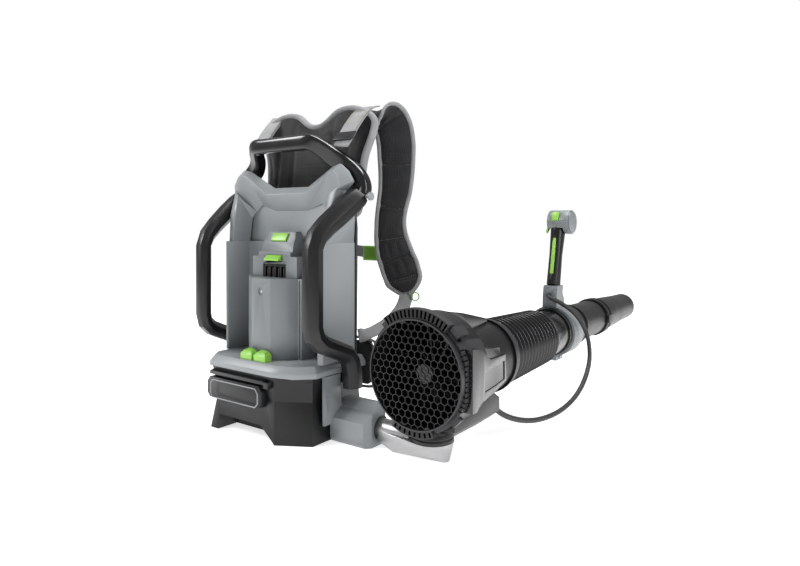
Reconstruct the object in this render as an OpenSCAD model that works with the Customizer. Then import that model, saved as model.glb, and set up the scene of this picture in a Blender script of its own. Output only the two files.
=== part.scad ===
// Backpack leaf blower: carrying frame, swivel arm, axial fan unit, hose, tubes and control handle.
// Millimetres. +Z is up, +Y is the way the nozzle points, +X is the wearer's right.
// The origin is on the ground, under the middle of the carrying frame.

/* [Carrying frame] */
// Half width of the lower housing and of the spine shell
pack_half = 127; // [120:1:135]
// Distance of the lower housing's rear face behind the origin
pack_rear = 108; // [100:1:115]
// Distance of the lower housing's front face ahead of the origin
pack_front = 62; // [50:1:70]
// Height of the lower housing
housing_h = 118; // [110:1:125]
// Height of the shelf that the battery stands on
shelf_z = 138; // [130:1:145]
// Height of the spine shell's two upper peaks
peak_z = 497; // [480:1:510]
// Height of the bottom of the notch between the peaks
notch_z = 451; // [430:1:460]
// Height of the top of the carrying handle
handle_top_z = 552; // [540:1:565]
// Wall thickness of the moulded shells
wall = 3; // [2.5:0.1:4]

/* [Battery rail] */
// Half width of the rail at its foot
rail_half = 72; // [64:1:80]
// Distance of the rail's rear face behind the origin
rail_rear = 79; // [72:1:84]
// Height of the top of the rail
rail_top = 286; // [275:1:295]

/* [Side guards] */
// Distance of a guard's centre line from the middle plane
guard_x = 147; // [142:1:152]
// Distance of a guard's upright behind the origin
guard_y = 95; // [88:1:100]

/* [Swivel arm] */
// Height of the arm's axis
arm_z = 29; // [27:0.5:32]
// Position of the arm's axis ahead of the origin
arm_y = 8; // [4:1:12]
// Radius of the arm
arm_r = 17; // [15:0.5:19]
// Distance of the fan unit's vertical swivel axis from the middle plane
swivel_x = 321; // [315:1:330]
// Radius of the swivel pin
swivel_pin_r = 9; // [8:0.5:10]

/* [Fan unit] */
// Height of the intake's centre
intake_z = 147; // [142:1:150]
// Height of the tube line
tube_z = 139; // [135:1:142]
// Outer radius of the fan housing
fan_r = 95; // [92:1:98]
// Outer radius of the intake grille's rim
grille_r = 89; // [86:1:90]
// Outer radius of the outlet duct
duct_r = 66; // [64:1:68]
// Number of impeller blades
blades = 11; // [7:1:13]
// Pitch of the grille's hexagons
hex_pitch = 12.4; // [12:0.2:16]

/* [Hose and tubes] */
// Start of the bellows
bellows_y0 = 197; // [192:1:202]
// End of the bellows
bellows_y1 = 413; // [405:1:420]
// Radius of the rear tube
tube_r = 50; // [48:0.5:51]
// Radius of the middle tube
mid_r = 46.5; // [45:0.5:47]
// Radius of the nozzle tip
tip_r = 36; // [32:1:40]
// Position of the nozzle tip
tip_y = 1048; // [1000:1:1100]

/* [Control handle] */
// Position of the handle along the tube
grip_y = 520; // [515:1:530]
// Forward lean of the grip in degrees
grip_lean = 13; // [8:1:16]
// Diameter of the control cable
cable_d = 10; // [9:0.5:11]

/* [Hidden] */
$fn = 72;

GREY = [0.50, 0.53, 0.55];
BLACK = [0.09, 0.09, 0.10];
GREEN = [0.50, 0.76, 0.18];
SILVER = [0.75, 0.75, 0.76];
FABRIC = [0.14, 0.14, 0.15];
WEB = [0.55, 0.55, 0.56];

gap = 0.3;            // clearance between parts of different bodies
fan_y0 = -38;         // rear end of the fan housing
cover_x = 411;        // flat of the fan housing under the side cover
duct_y0 = 98;         // where the outlet duct starts
clamp_y0 = 505;       // rear end of the handle clamp
clamp_y1 = 560;       // front end of the handle clamp
clamp_r = 58;         // outer radius of the handle clamp
joint1_y = 560;       // where the middle tube enters the rear tube's socket
joint2_y = 803;       // where the nozzle's socket ends on the middle tube
pin_z0 = 8;           // foot of the swivel pin
pin_z1 = 51.5;        // head of the swivel pin
boot_z1 = 44;         // top of the rubber boot
head_z = 390;         // height of the handle's drum head
head_y = 559;         // position of the handle's drum head
cable_route = [[368, 122, 62], [368, 130, 61], [370, 142, 55], [374, 160, 43], [380, 185, 31], [388, 215, 21],
    [396, 250, 14], [403, 290, 11], [409, 330, 12], [413, 370, 17], [415, 410, 26],
    [415, 450, 41], [413, 485, 61], [410, 510, 85], [405, 523, 112], [399, 524, 138],
    [391, 517, 162], [379, 508, 183], [362, 500, 199], [343, 493, 211], [330, 488, 217],
    [321, 491, 221], [318, 497, 222], [318, 503, 222]];

// ---------- helpers ----------

function unit(v) = v / norm(v);
function tangent(p, i) = unit(p[min(i + 1, len(p) - 1)] - p[max(i - 1, 0)]);

// The frame at each point of a path: side and up vectors square to the path, near a wished up vector
function side_of(t, up) = unit(cross(t, up));
function ring_at(p, t, up, sec) =
    let (s = side_of(t, up), u = cross(s, t)) [for (q = sec) p + s * q[0] + u * q[1]];

// A closed solid from rings of equal length, capped at both ends
module loft(rings) {
    n = len(rings[0]);
    m = len(rings);
    pts = [for (r = rings) for (p = r) p];
    sides = [for (i = [0 : m - 2], j = [0 : n - 1])
        let (a = i * n + j, b = i * n + (j + 1) % n) each [[a, b, b + n], [a, b + n, a + n]]];
    caps = [[for (j = [n - 1 : -1 : 0]) j], [for (j = [0 : n - 1]) (m - 1) * n + j]];
    polyhedron(pts, concat(sides, caps), convexity = 8);
}

// A section swept along a path; up says which way the section's second axis points
module sweep(path, sec, up) {
    loft([for (i = [0 : len(path) - 1]) ring_at(path[i], tangent(path, i), up, sec)]);
}

function circle_section(r, n) = [for (i = [0 : n - 1]) r * [cos(360 * i / n), sin(360 * i / n)]];
function box_section(w, t) = [[-w / 2, -t / 2], [w / 2, -t / 2], [w / 2, t / 2], [-w / 2, t / 2]];
function flip_x(path) = [for (p = path) [-p[0], p[1], p[2]]];
function mirror_poly(half) = concat(half, [for (i = [len(half) - 1 : -1 : 0])
    if (half[i][0] != 0) [-half[i][0], half[i][1]]]);

// A cylinder and a ring along Y, standing on their rear faces
module disc_y(r, y0, y1, x, z) { translate([x, y0, z]) rotate([-90, 0, 0]) cylinder(r = r, h = y1 - y0); }
module ring_y(r_out, r_in, y0, y1, x, z) {
    translate([x, y0, z]) rotate([-90, 0, 0]) difference() {
        cylinder(r = r_out, h = y1 - y0);
        translate([0, 0, -1]) cylinder(r = r_in, h = y1 - y0 + 2);
    }
}
// A turned part about the Y axis; the outline gives [radius, y]
module turned_y(outline, x, z) { translate([x, 0, z]) rotate([-90, 0, 0]) rotate_extrude() polygon(outline); }
// An outline of [y, z] points extruded along X
module slab_x(outline, x0, x1) {
    translate([x0, 0, 0]) rotate([90, 0, 90]) linear_extrude(x1 - x0) polygon(outline);
}
// An outline of [x, z] points extruded along Y
module slab_y(outline, y0, y1) {
    translate([0, y1, 0]) rotate([90, 0, 0]) linear_extrude(y1 - y0) polygon(outline);
}
module block(lo, hi) { translate(lo) cube(hi - lo); }

// ---------- carrying frame ----------

module housing_plan(inset, waist) {
    w = pack_half - waist;
    r = pack_rear - waist;
    polygon([[-w + inset, pack_front - inset], [-w + inset, -r + 22 + inset / 2],
        [-w + 20 + inset / 2, -r + inset], [w - 60, -r + inset], [w - inset, -r + 34],
        [w - inset, pack_front - inset]]);
}

module housing_solid(inset) {
    hull() {
        translate([0, 0, housing_h - 1]) linear_extrude(1) housing_plan(inset, 2);
        translate([0, 0, 72]) linear_extrude(1) housing_plan(inset, 10);
    }
    hull() {
        translate([0, 0, 72]) linear_extrude(1) housing_plan(inset, 10);
        linear_extrude(1) housing_plan(inset, 0);
    }
}

// Black lower housing with the arch between its rear feet
module base_housing() {
    arch = [[-86, -1], [-86, 27], [28, 27], [62, 4], [68, -1]];
    arch_in = [[-89, -1], [-89, 30], [30, 30], [66, 6], [72, -1]];
    color(BLACK) difference() {
        union() {
            difference() {
                housing_solid(0);
                intersection() {
                    housing_solid(wall);
                    translate([0, 0, wall]) block([-200, -200, 0], [200, 200, housing_h - wall + 1]);
                }
                translate([0, 0, housing_h - 8]) linear_extrude(20) housing_plan(wall, 2);
            }
            intersection() {
                housing_solid(0);
                slab_y(arch_in, -pack_rear, -60);
            }
        }
        slab_y(arch, -pack_rear - 1, -63);
        badge_shape();
    }
    // Ledge over the badge plate and its little clip
    color(BLACK) {
        slab_x([[-101, 100], [-113, 103], [-113, 109], [-101, 112]], -104, 44);
        block([44, -113, 97], [56, -100, 108]);
        // Low feet on the wearer's side
        for (x = [-135, 75]) block([x, 50, 0], [x + 60, 76, 11]);
    }
}

// Floor plate screwed under the housing
module base_cover() {
    color(BLACK) difference() {
        block([-100, -58, 3.2], [90, 40, 6.2]);
        for (x = [-80, 70], y = [-40, 25]) translate([x, y, 0]) cylinder(r = 2.5, h = 20);
    }
}

module controller_board() {
    color([0.1, 0.35, 0.18]) block([-88, -50, 12], [78, 34, 13.6]);
    color(BLACK) {
        for (x = [-70, -40, -10]) translate([x, -30, 13.6]) cylinder(r = 9, h = 26);
        block([20, -44, 13.6], [60, -8, 24]);
        for (x = [-80, 70], y = [-40, 25]) translate([x, y, 6.2]) cylinder(r = 4, h = 5.8);
    }
}

// Finned casting that cools the power stage, and the cast weight behind the badge plate
module heat_sink() {
    color(SILVER) {
        block([-84, 0, 13.6], [76, 32, 19]);
        for (x = [-82 : 12 : 74]) block([x, 0, 19], [x + 2.5, 32, 46]);
        block([-80, -82, 44], [80, -34, 96]);
    }
}

module badge_shape() {
    slab_y([[-108, 58], [28, 58], [36, 66], [36, 88], [28, 97], [-108, 97], [-116, 88], [-116, 66]],
        -pack_rear - 2, -pack_rear + 12);
}

// Plain eight-sided badge plate, left blank
module badge_plate() {
    color(BLACK) badge_shape();
}

function shelf_outline(i) = [[-pack_half - 3 + i, pack_front], [-pack_half - 3 + i, -84 + i / 2],
    [-pack_half + 20 + i / 2, -111 + i], [58 - i / 3, -111 + i], [104 - i / 2, -100 + i],
    [134 - i, -72 + i / 2], [134 - i, pack_front]];

// Grey cap over the housing; the battery stands on it
module shelf_cap() {
    color(GREY) difference() {
        union() {
            translate([0, 0, 118.2]) linear_extrude(9) polygon(shelf_outline(0));
            hull() {
                translate([0, 0, 127]) linear_extrude(0.2) polygon(shelf_outline(0));
                translate([0, 0, shelf_z - 0.2]) linear_extrude(0.2) polygon(shelf_outline(9));
            }
        }
        translate([0, 0, 117]) linear_extrude(shelf_z - 117 - wall - 2) polygon(shelf_outline(12));
        for (x = [-33, 3]) block([x - gap, -99 - gap, 110], [x + 30 + gap, -83 + gap, 150]);
    }
}

// Two sprung lumps that lift the battery off its seat
module ejector() {
    lump = [[-99, 130], [-99, 148], [-95, 154], [-87, 157], [-83, 153], [-83, 130]];
    color(GREEN) {
        for (x = [-33, 3]) intersection() {
            slab_x(lump, x, x + 30);
            slab_y([[x, 129], [x, 149], [x + 8, 157], [x + 22, 157], [x + 30, 149], [x + 30, 129]], -100, -82);
        }
        block([-38, -98.6, 129.6], [38, -82, 132.6]);
    }
}

// Tray-shaped spine shell: a back plane with walls that reach rearwards, and a raised rim on top
module spine_shell() {
    w = pack_half + 4;
    plan = [[-w, 34], [-w, -52], [-w + 6, -58], [-w + 10, -56], [-w + 17, -8], [-46, 0], [46, 0],
        [w - 17, -8], [w - 10, -56], [w - 6, -58], [w, -52], [w, 34],
        [w - wall, 34], [w - wall, 3], [46, 4], [-46, 4], [-w + wall, 3], [-w + wall, 34]];
    color(GREY) {
        translate([0, 0, shelf_z]) linear_extrude(352 - shelf_z) polygon(plan);
        // Centre field of the tray above the straight part
        slab_y([[-w + 8, 351], [w - 8, 351], [w - 8, 402], [98, 418], [84, 430], [66, 427], [44, 416],
            [-44, 416], [-66, 427], [-84, 430], [-98, 418], [-w + 8, 402]], 0.4, 3.4);
    }
}

// Raised rim round the top of the tray, from one wall over both peaks and the notch to the other
module shell_rim() {
    w = pack_half + 4;
    // Rim sections from the left wall to the notch: front, outer edge, crest, inner foot, inner front
    rim = [[[-w + 0.7, 33, 346], [-w + 0.7, -47, 346], [-w + 11.2, -46, 346], [-w + 16.9, -7.6, 346],
            [-w + 10, 2.4, 346]],
        [[-w - 2, 34, 405], [-w - 4, -40, 405], [-w + 9, -38, 403], [-w + 23, -5, 398], [-w + 13, 4, 395]],
        [[-w - 5, 8, 448], [-w - 7, -26, 448], [-w + 7, -30, 442], [-96, -4, 412], [-90, 4, 412]],
        [[-w - 27, 2, 463], [-w - 31, -8, 465], [-w - 11, -22, 456], [-90, -3, 418], [-86, 4, 418]],
        [[-w - 17, 0, 482], [-w - 19, -8, 484], [-w - 3, -19, 474], [-86, -3, 422], [-82, 4, 422]],
        [[-w, 0, peak_z - 2], [-w, -7, peak_z], [-w + 7, -18, peak_z - 13], [-80, -2, 424], [-76, 4, 424]],
        [[-112, 0, peak_z - 5], [-112, -5, peak_z - 4], [-110, -17, peak_z - 17], [-70, -1, 420], [-66, 4, 420]],
        [[-47, 0, notch_z + 5], [-46, -1, notch_z + 7], [-54, -17, notch_z - 7], [-43, 0, 412], [-42, 4, 412]]];
    right = [for (i = [len(rim) - 1 : -1 : 0]) [for (p = rim[i]) [-p[0], p[1], p[2]]]];
    rings = [for (r = concat(rim, right)) [for (j = [len(r) - 1 : -1 : 0]) r[j]]];
    color(GREY) loft(rings);
}

// Half of the battery rail's plan
function rail_plan() = mirror_poly([[0, -rail_rear], [25, -rail_rear], [51, -62.5], [62, -46],
    [rail_half, -46], [rail_half, -9], [0, -9]]);

module battery_rail() {
    color(GREY) difference() {
        translate([0, 0, shelf_z]) linear_extrude(rail_top - shelf_z) polygon(rail_plan());
        translate([0, 0, shelf_z - 1]) linear_extrude(rail_top - shelf_z - 2)
            polygon(mirror_poly([[0, -rail_rear + 3], [24, -rail_rear + 3], [48.5, -60], [60, -43],
                [rail_half - 3, -43], [rail_half - 3, -12], [0, -12]]));
        translate([0, -rail_rear - 1, 262]) rotate([-90, 0, 0]) cylinder(r = 7, h = 2.5);
        translate([0, -rail_rear - 1, 262]) rotate([-90, 0, 0]) cylinder(r = 2.4, h = 9);
        // Guide grooves for the battery's two feet
        for (s = [-1, 1]) translate([s * 67, -46, 0]) block([-1.6, -1, 140], [1.6, 2.4, 283]);
    }
}

module terminal_head() {
    lower = [[-9, rail_top], [-46, rail_top], [-46, 334], [-40, 334], [-36, 350], [-24, 372], [-9, 372]];
    front = [[-60, rail_top], [60, rail_top], [60, 325], [43, 326], [43, 334], [41, 360], [35, 372],
        [-35, 372], [-41, 360], [-43, 334], [-43, 326], [-60, 325]];
    color(GREY) difference() {
        intersection() {
            slab_x(lower, -60, 60);
            slab_y(front, -50, 0);
        }
        block([-31, -60, rail_top], [31, -18, 311]);
        block([-18, -60, 300], [31, -44, 316]);
        // Window of the latch
        block([-20 - gap, -60, 316.7], [20 + gap, -17, 328 + gap]);
        // Well of the release button
        translate([0, -30, 361]) rotate([-28.6, 0, 0]) block([-20 - gap, -14, -8 - gap], [20 + gap, 13, 8 + gap]);
    }
}

// Black socket that carries the battery's contacts
module terminal_block() {
    color(BLACK) difference() {
        block([-31, -44, rail_top], [31, -18, 311]);
        for (x = [-26, -12, 3, 17]) block([x, -50, rail_top - 1], [x + 9, -24, 306]);
    }
}

module terminal_blades() {
    color(SILVER) for (x = [-21.5, -7.5, 7.5, 21.5]) block([x - 0.6, -42, rail_top], [x + 0.6, -24, 304]);
}

module latch_wedge() {
    color(GREEN) slab_x([[-28, 317], [-45, 317], [-55, 317.5], [-55, 320], [-47, 328], [-28, 328]], -20, 20);
}

module release_button() {
    color(GREEN) translate([0, -30, 361]) rotate([-28.6, 0, 0]) block([-20, -3.4, -8], [20, 6, 8]);
}

// Grey box that carries the arm's bearing, with the leg that joins it to the shelf
module side_box() {
    body = [[-28, 0], [28, 0], [30, 6], [30, 62], [22, 70], [6, 70], [-12, 59], [-30, 42], [-30, 6]];
    color(GREY) difference() {
        union() {
            difference() {
                slab_x(body, 127.3, 214);
                // Chamfered outer end
                translate([214, 0, 70]) rotate([0, 45, 0]) cube([22, 80, 22], center = true);
                translate([214, -30, 30]) rotate([0, 0, 45]) cube([15, 15, 90], center = true);
                translate([214, 30, 30]) rotate([0, 0, 45]) cube([15, 15, 90], center = true);
                slab_x([[-25, 4], [25, 4], [25, 58], [4, 64], [-9, 55], [-25, 40]], 141, 190);
            }
            slab_y([[127.3, 30], [132, 30], [138, 58], [134.6, 90], [134.6, 117], [126.6, 117],
                [127.3, 60]], -50, -10);
        }
        translate([170, arm_y, arm_z]) rotate([0, 90, 0]) cylinder(r = 21, h = 60);
    }
}

// Plain bearing of the arm
module arm_bush() {
    color(BLACK) translate([191, arm_y, arm_z]) rotate([0, 90, 0]) difference() {
        cylinder(r = 21, h = 22);
        translate([0, 0, -1]) cylinder(r = arm_r + 0.06, h = 24);
    }
}

// One guard: a bar with two cut corners, swept from the ear round the battery bay and down to the base
function guard_path() = [[163, 6, 436], [161, -8, 426], [157, -34, 407], [151, -66, 383],
    [148, -86, 364], [guard_x, -guard_y, 344], [guard_x, -guard_y, 212], [148, -90, 194],
    [149, -76, 181], [151, -46, 168], [153, -18, 156], [153, -6, 143], [153, 0, 122],
    [153, 2, 92]];
guard_section = [[-17, -6], [-10, -15], [4, -15], [17, -3], [17, 8], [9, 15], [-5, 14], [-17, 4]];

module guard_bar() {
    // The bar grows towards the ear
    grow = [1.15, 1.25, 1.25, 1.15, 1.08];
    loft([for (i = [0 : len(guard_path()) - 1])
        let (p = guard_path()[i], t = tangent(guard_path(), i), n = unit(cross([1, 0, 0], t)),
            k = i < 5 ? grow[i] : 1)
        [for (q = guard_section) p + [1, 0, 0] * q[0] + n * q[1] * k]]);
}

module guard_feet() {
    block([124.4, -8, 100], [146, 12, 111]);
    block([pack_half + 10, -6, 418], [150, 16, 432]);
}

module guard_right() { color(BLACK) { guard_bar(); guard_feet(); } }
module guard_left() { color(BLACK) mirror([1, 0, 0]) { guard_bar(); guard_feet(); } }

// Carrying handle: an arch that rises from both ears
module top_handle() {
    half = [[164, 13, 438], [165, 17, 452], [158, 18, 468], [141, 18, 485], [121, 15, 500], [103, 4, 514],
        [88, -12, 529], [72, -24, handle_top_z - 14], [40, -27, handle_top_z - 14]];
    path = concat(half, [for (i = [len(half) - 1 : -1 : 0]) [-half[i][0], half[i][1], half[i][2]]]);
    sec = [[-12, -9], [-7, -14], [7, -14], [12, -9], [12, 9], [7, 14], [-7, 14], [-12, 9]];
    color(BLACK) loft([for (i = [0 : len(path) - 1])
        let (t = tangent(path, i), n = unit(cross([0, 1, 0], t)), d = cross(t, n))
        [for (q = sec) path[i] + n * q[1] + d * q[0]]]);
}

// Mushroom peg on the right ear, where the handle or a strap is parked
module hanging_peg() {
    color(GREY) translate([180.1, 8, 436]) rotate([0, 90, 0]) {
        cylinder(r = 3.5, h = 9);
        translate([0, 0, 8]) cylinder(r = 7.5, h = 4);
    }
}

// Plate behind the shell that the harness is sewn to
module back_plate() {
    color(BLACK) slab_y([[-132, 138.2], [132, 138.2], [134, 380], [128, 440], [-128, 440], [-134, 380]], 34.2, 39);
}

module frame_screws() {
    color(SILVER) {
        for (x = [-110, 110], z = [160, 330]) translate([x, 39, z]) rotate([-90, 0, 0]) cylinder(r = 4, h = 3);
        translate([0, -rail_rear + 1.5, 262]) rotate([-90, 0, 0]) cylinder(r = 2.2, h = 6);
    }
}

// ---------- harness ----------

module lumbar_pad() {
    color(FABRIC) hull() {
        slab_y([[-138, 74], [138, 74], [150, 96], [150, 148], [138, 168], [-138, 168], [-150, 148], [-150, 96]],
            63, 80);
        slab_y([[-128, 84], [128, 84], [128, 158], [-128, 158]], 62.4, 92);
    }
    color(FABRIC) for (x = [-90, 90]) block([x - 20, 39.2, 139], [x + 20, 63, 154]);
}

// Padded yoke: rises from behind the notch to the shoulders, with a U-shaped neck cut-out
module yoke_pad() {
    outline = [[-104, 404], [104, 404], [124, 450], [134, 520], [150, 566], [152, 592], [128, 612],
        [92, 622], [58, 618], [30, 600], [12, 592], [-12, 592], [-30, 600], [-58, 618], [-92, 622],
        [-128, 612], [-152, 592], [-150, 566], [-134, 520], [-124, 450]];
    color(FABRIC) rotate([-5.5, 0, 0]) translate([0, -38, 0]) slab_y(outline, 46, 62);
}

// Shoulder strap: rises over the shoulder and hangs down in an S, with a rounded tip
strap_path = [[110, 86, 582], [114, 93, 594], [121, 103, 601], [130, 114, 603], [139, 125, 596], [146, 134, 578],
    [148, 141, 548], [147, 144, 518], [146, 145, 486], [143, 145, 454], [138, 143, 426], [135, 141, 402],
    [135, 140, 378], [139, 139, 352], [147, 140, 325], [157, 142, 300], [168, 141, 274], [175, 139, 252]];
strap_turn = [0, 6, 12, 18, 24, 28, 30, 31, 32, 33, 34, 35, 34, 33, 32, 30, 28, 26];
strap_wide = [66, 68, 69, 70, 70, 69, 68, 66, 62, 58, 54, 52, 54, 60, 66, 69, 66, 46];
strap_t = 14;

module shoulder_strap() {
    loft([for (i = [0 : len(strap_path) - 1])
        let (t = tangent(strap_path, i), wish = [cos(strap_turn[i]), sin(strap_turn[i]), 0],
            f = unit(cross(wish, t)), s = cross(t, f), w = strap_wide[i] / 2, h = strap_t / 2)
        [for (q = [[-w, -h + 3], [-w + 4, -h], [w - 4, -h], [w, -h + 3], [w, h - 3], [w - 4, h], [-w + 4, h],
            [-w, h - 3]]) strap_path[i] + s * q[0] + f * q[1]]]);
}

module shoulder_strap_right() { color(FABRIC) shoulder_strap(); }
module shoulder_strap_left() { color(FABRIC) mirror([1, 0, 0]) shoulder_strap(); }

lifter_path = [[116, 10, 530], [117, 22, 545], [118, 42, 572], [119, 62, 594], [121, 80, 610], [124, 98, 616]];
module lifter() { sweep(lifter_path, box_section(38, 3), [0, -1, 0.4]); }
module lifter_straps() { color(WEB) { lifter(); mirror([1, 0, 0]) lifter(); } }
module lifter_buckles() {
    color(BLACK) for (s = [-1, 1]) translate([s * 117, 24, 549]) rotate([-37, 0, 0])
        block([-23, -5, -10], [23, -1.6, 10]);
}

web_path = [[174, 137, 243], [173, 126, 222], [167, 105, 203], [157, 78, 189], [145, 54, 180], [133, 42, 177]];
module lower_web() { sweep(web_path, box_section(28, 2.4), [0.6, -0.8, 0]); }
module lower_webbing() { color(WEB) { lower_web(); mirror([1, 0, 0]) lower_web(); } }

// Chest strap between the shoulder straps; its side-release buckle sits close to the right strap
chest_short = [[124, 130, 330], [110, 142, 328], [94, 150, 326]];
chest_long = [[62, 152, 328], [40, 154, 330], [0, 156, 332], [-50, 154, 332], [-88, 149, 329], [-112, 140, 326]];
module chest_strap() {
    color(WEB) {
        sweep(chest_short, box_section(24, 2.4), [0, -1, 0]);
        sweep(chest_long, box_section(24, 2.4), [0, -1, 0]);
    }
}
module chest_buckle() {
    color(GREEN) difference() {
        hull() {
            block([58, 147, 311], [98, 157, 341]);
            block([63, 145, 315], [93, 159, 337]);
        }
        block([50, 150.4, 314], [106, 155, 340]);
    }
}

module pull_loops() {
    color(GREEN) for (s = [1, -1]) mirror([s > 0 ? 0 : 1, 0, 0])
        translate([190, 148, 244]) rotate([90, 0, 62]) rotate_extrude() translate([8, 0]) circle(r = 1.3);
}

// ---------- swivel arm ----------

module pivot_arm() {
    color(SILVER) difference() {
        union() {
            translate([180, arm_y, arm_z]) rotate([0, 90, 0]) cylinder(r = arm_r, h = 104);
            intersection() {
                hull() {
                    block([217, arm_y - 15, 11], [220, arm_y + 15, 29]);
                    block([254, arm_y - 21, 1], [258, arm_y + 21, 29]);
                    translate([262, arm_y, arm_z - 2]) scale([1, 1, 0.85]) sphere(r = 21, $fn = 32);
                    translate([swivel_x, arm_y, 13]) cylinder(r1 = 26, r2 = 36, h = 16.7, $fn = 32);
                    translate([swivel_x + 24, arm_y, 0]) cylinder(r = 8, h = 12, $fn = 32);
                }
                block([200, -60, 0], [400, 80, 29.7]);
            }
        }
        translate([swivel_x, arm_y, pin_z0 - gap]) cylinder(r = swivel_pin_r + 0.06, h = 60);
    }
}

// Rubber boot over the swivel, seated on the arm's cup
module swivel_boot() {
    color(BLACK) translate([swivel_x, arm_y, 0]) rotate_extrude()
        polygon([[swivel_pin_r + 6, 29.7], [35.5, 29.7], [35.5, 35], [34, 37], [35, 40], [33.5, boot_z1],
            [swivel_pin_r + 6, boot_z1]]);
}

// ---------- fan unit ----------

// Outer form of the fan housing, grown by a little for the parts that fit against it
module fan_body(grow) {
    intersection() {
        disc_y(fan_r + grow, fan_y0, 30 + grow, swivel_x, intake_z);
        block([0, fan_y0 - 1, 0], [cover_x + grow, 40, 300]);
    }
    hull() {
        disc_y(fan_r - 4 + grow, 29, 30 + grow, swivel_x, intake_z);
        disc_y(duct_r + 1 + grow, duct_y0 - 1, duct_y0, swivel_x, tube_z);
    }
    disc_y(duct_r + grow, duct_y0 - 1, bellows_y0, swivel_x, tube_z);
    disc_y(duct_r + 4 + grow, bellows_y0 - 16 - grow, bellows_y0 - 9 + grow, swivel_x, tube_z);
}

// Places its children in the fan's middle, turned by an angle above the outer side
module round_fan(a) { translate([swivel_x, 0, intake_z]) rotate([0, -a, 0]) children(); }

// Part of a slotted band in front of the housing's edge, between two angles
module louvre_band(r, from, to, count) {
    difference() {
        intersection() {
            ring_y(r, grille_r + 0.3, -43, -28, swivel_x, intake_z);
            slab_y([for (k = [-1 : 3]) k < 0 ? [swivel_x, intake_z] :
                let (a = from + (to - from) * k / 3) [swivel_x + 200 * cos(a), intake_z + 200 * sin(a)]], -50, 0);
        }
        for (i = [0 : count - 1]) round_fan(from + (to - from) * (i + 0.5) / count)
            block([grille_r + 2.5, -50, -1.9], [r - 2, -31, 1.9]);
    }
}

module fan_housing() {
    color(BLACK) difference() {
        union() {
            fan_body(0);
            louvre_band(106, 53, 127, 16);
            louvre_band(101, 243, 290, 8);
            // Closing blocks of the grille and a locating peg
            round_fan(46) block([88, -36, -9], [105, -8, 9]);
            round_fan(46) block([88, -30, -14], [100, -12, -8]);
            round_fan(-42) block([88, -37, -9], [100, -28, 9]);
            round_fan(133) block([90, -32, -6], [104, -18, 6]);
        }
        disc_y(grille_r - 2, fan_y0 - 1, 28, swivel_x, intake_z);
        hull() {
            disc_y(fan_r - 8, 27, 28, swivel_x, intake_z);
            disc_y(duct_r - 2, duct_y0 - 1, duct_y0, swivel_x, tube_z);
        }
        disc_y(duct_r - wall, duct_y0 - 2, bellows_y0 + 1, swivel_x, tube_z);
        // Comb of slots beside the cover
        for (a = [-30 : 5 : 30]) round_fan(a) block([grille_r - 4, fan_y0 - 1, -1.4], [fan_r + 4, -30, 1.4]);
    }
}

// Hexagonal grille in its thin rim
module intake_grille() {
    rows = 9;
    color(BLACK) {
        translate([swivel_x, -41.5, intake_z]) rotate([90, 0, 0]) difference() {
            cylinder(r = grille_r - 1, h = 3);
            for (i = [-rows : rows], j = [-rows : rows])
                let (x = hex_pitch * (i + (j % 2 == 0 ? 0 : 0.5)), y = hex_pitch * 0.866 * j)
                    if (norm([x, y]) < grille_r) translate([x, y, -1]) rotate([0, 0, 30])
                        cylinder(r = hex_pitch * 0.52, h = 5, $fn = 6);
        }
        ring_y(grille_r, grille_r - 2.4, -47, fan_y0, swivel_x, intake_z);
    }
}

// Side cover on the outer side: tall at the rear, with a lower shoulder that tapers to the hose
module side_cover() {
    face = [[-28, 97], [-28, 195], [-4, 193], [10, 186], [40, 168], [118, 162], [123, 117], [56, 111], [0, 108],
        [-14, 97]];
    color(BLACK) difference() {
        union() {
            intersection() {
                slab_x(face, 384, 418);
                linear_extrude(300) polygon([[384, -30], [417.5, -30], [417, 8], [409, 66], [399, 124], [384, 124]]);
            }
            intersection() {
                slab_x([[-6, 160], [-6, 191], [104, 176], [114, 160]], 380, 410);
                linear_extrude(300) polygon([[380, -6], [408, -6], [404, 60], [393, 114], [380, 114]]);
            }
        }
        fan_body(0.1);
        // Recess of the blank badge window
        translate([0, 0, 121]) linear_extrude(32) polygon([[414.4, 14], [407.2, 66], [399.4, 112], [430, 112], [430, 14]]);
    }
}

// Wedge on top of the housing, behind the slotted band
module top_cover() {
    plan = [[292, 28], [340, 28], [347, 60], [338, 166], [316, 166], [294, 60]];
    color(BLACK) difference() {
        intersection() {
            translate([0, 0, 190]) linear_extrude(60) polygon(plan);
            slab_x([[28, 190], [28, 241], [60, 236], [160, 214], [168, 207], [168, 190]], 290, 400);
        }
        fan_body(0.1);
    }
}

// Lower pod: seat of the swivel and outlet of the cable
module lower_pod() {
    side = [[-26, 62], [-10, 50], [70, 50], [126, 56], [126, 84], [100, 100], [-26, 100]];
    color(BLACK) difference() {
        union() {
            difference() {
                slab_x(side, 276, 384);
                translate([276, 0, 46]) rotate([0, 40, 0]) cube([26, 400, 26], center = true);
                translate([384, 0, 46]) rotate([0, 40, 0]) cube([22, 400, 22], center = true);
            }
            // Turned seat that runs above the boot
            translate([swivel_x, arm_y, boot_z1 + gap]) cylinder(r = 33, h = 56 - boot_z1 - gap);
        }
        fan_body(0.1);
        translate([swivel_x, arm_y, 40]) cylinder(r = swivel_pin_r + 0.05, h = pin_z1 - 40);
        translate([368, 104, 62]) rotate([-90, 0, 0]) cylinder(r = 7, h = 40);
    }
}

module swivel_pin() {
    color(SILVER) translate([swivel_x, arm_y, pin_z0]) cylinder(r = swivel_pin_r, h = pin_z1 - pin_z0);
}

// Strain relief where the cable leaves the pod
module cable_gland() {
    color(BLACK) translate([368, 104, 62]) rotate([-90, 0, 0]) difference() {
        cylinder(r = 7, h = 22);
        translate([0, 0, 18]) cylinder(r = cable_d / 2 + 0.3, h = 5);
    }
}

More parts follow.
